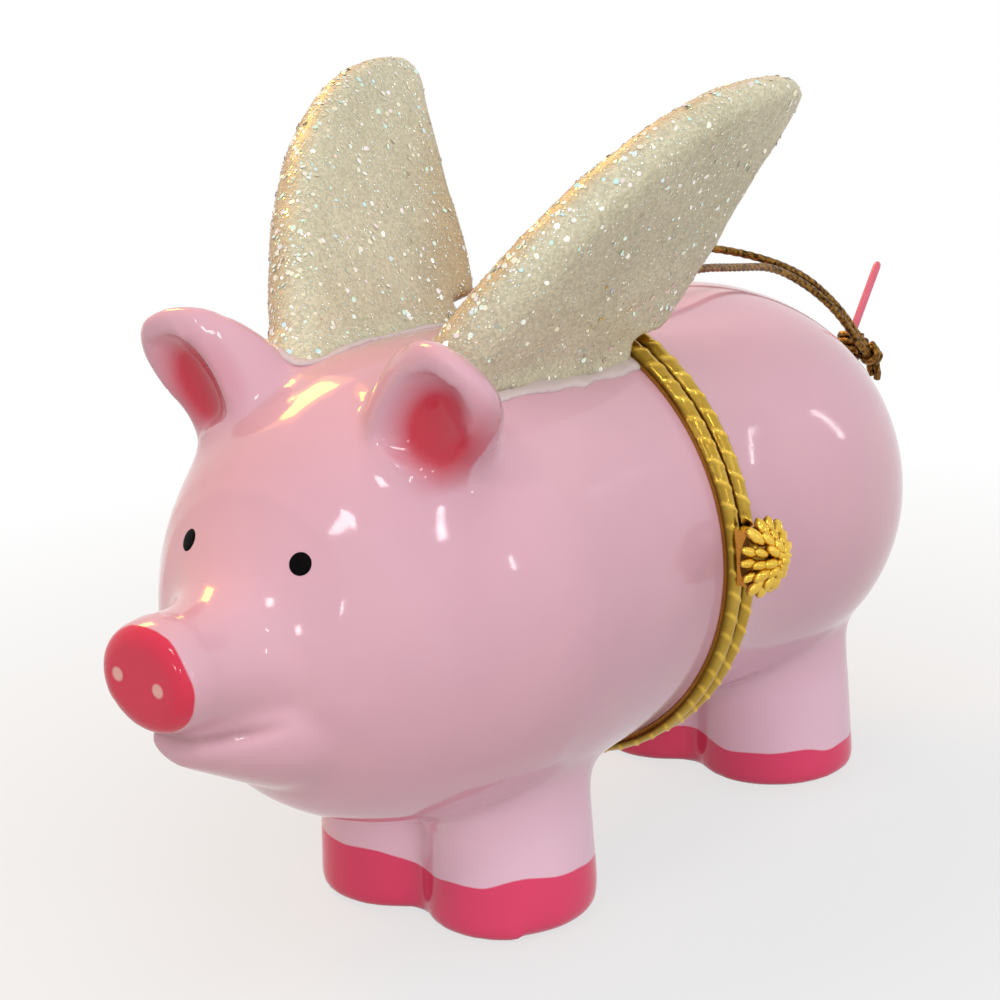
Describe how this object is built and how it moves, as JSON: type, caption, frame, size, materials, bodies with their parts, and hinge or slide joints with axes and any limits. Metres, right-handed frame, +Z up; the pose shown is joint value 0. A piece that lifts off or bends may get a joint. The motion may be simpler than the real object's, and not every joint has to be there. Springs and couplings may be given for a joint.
{
  "type": "hinged pig trinket box",
  "caption": "Winged pig in glazed porcelain that opens across its middle on a side hinge, with gilt rims, a flower clasp and a cord loop tied to its tail.",
  "frame": {"origin": "on the surface that the pig stands on, at the middle of its width and of its length from nose to tail tip", "axes": "+Z up, -Y the way the pig faces, +X its left flank, where the clasp is"},
  "size_m": [0.0435, 0.0957, 0.0635],
  "materials": {
    "porcelain": "pale pink gloss glaze with hot pink, red and black painted marks",
    "glitter": "cream, coated with iridescent glitter",
    "gilt": "polished gilt",
    "tail_paint": "hot pink gloss",
    "cord": "twisted metallic gold thread"
  },
  "bodies": {
    "front": {"front_shell": "porcelain", "left_wing": "glitter", "right_wing": "glitter", "front_bezel": "gilt", "hinge_front_leaf": "gilt", "hinge_pin": "gilt", "clasp_tongue": "gilt", "clasp_flower": "gilt"},
    "rear": {"rear_shell": "porcelain", "rear_bezel": "gilt", "hinge_rear_leaf": "gilt", "clasp_stud": "gilt", "tail": "tail_paint", "cord_knot": "cord", "hanger_cord": "cord"}
  },
  "joints": [
    {"name": "box_hinge", "type": "hinge", "parent": "front", "child": "rear", "pos_m": [-0.02025, -0.0026, 0.027], "axis": [0, 0, 1], "range_deg": [0, 100]}
  ]
}
